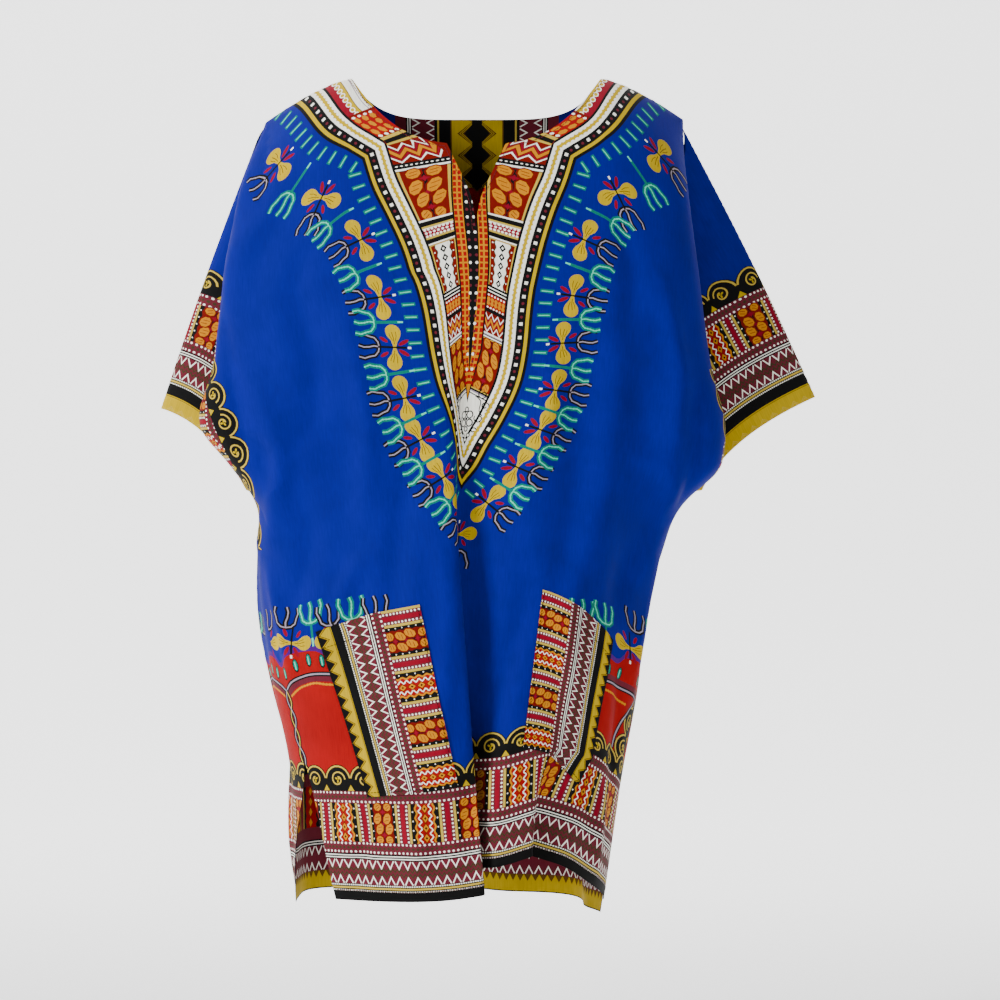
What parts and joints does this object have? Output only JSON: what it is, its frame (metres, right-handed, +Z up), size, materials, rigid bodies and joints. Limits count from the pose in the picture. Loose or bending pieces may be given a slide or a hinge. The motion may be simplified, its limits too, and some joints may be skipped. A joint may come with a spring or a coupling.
{
  "type": "dashiki shirt",
  "caption": "Loose pullover dashiki shirt, hanging hollow as when worn: wide short sleeves, round neck with a front slit, two patch pockets and open side slits at the hem.",
  "frame": {"origin": "midway between the two points where the shoulder line meets the neck opening, level with them, where the wearer's shoulders carry the shirt", "axes": "+Z up along the body of the shirt, +X to the right in a front view, the front faces -Y"},
  "size_m": [0.6193, 0.2712, 0.7896],
  "materials": {
    "printed_body": "plain-weave cotton with a wax print, royal blue ground, slightly waxy sheen",
    "printed_sleeve": "the same cotton, cut across the maroon and red border of the print",
    "printed_pocket": "the same cotton, cut across the maroon and red border of the print"
  },
  "bodies": {
    "root": {"front": "printed_body", "back": "printed_body", "sleeve_left": "printed_sleeve", "sleeve_right": "printed_sleeve", "pocket_left": "printed_pocket", "pocket_right": "printed_pocket"}
  },
  "joints": []
}
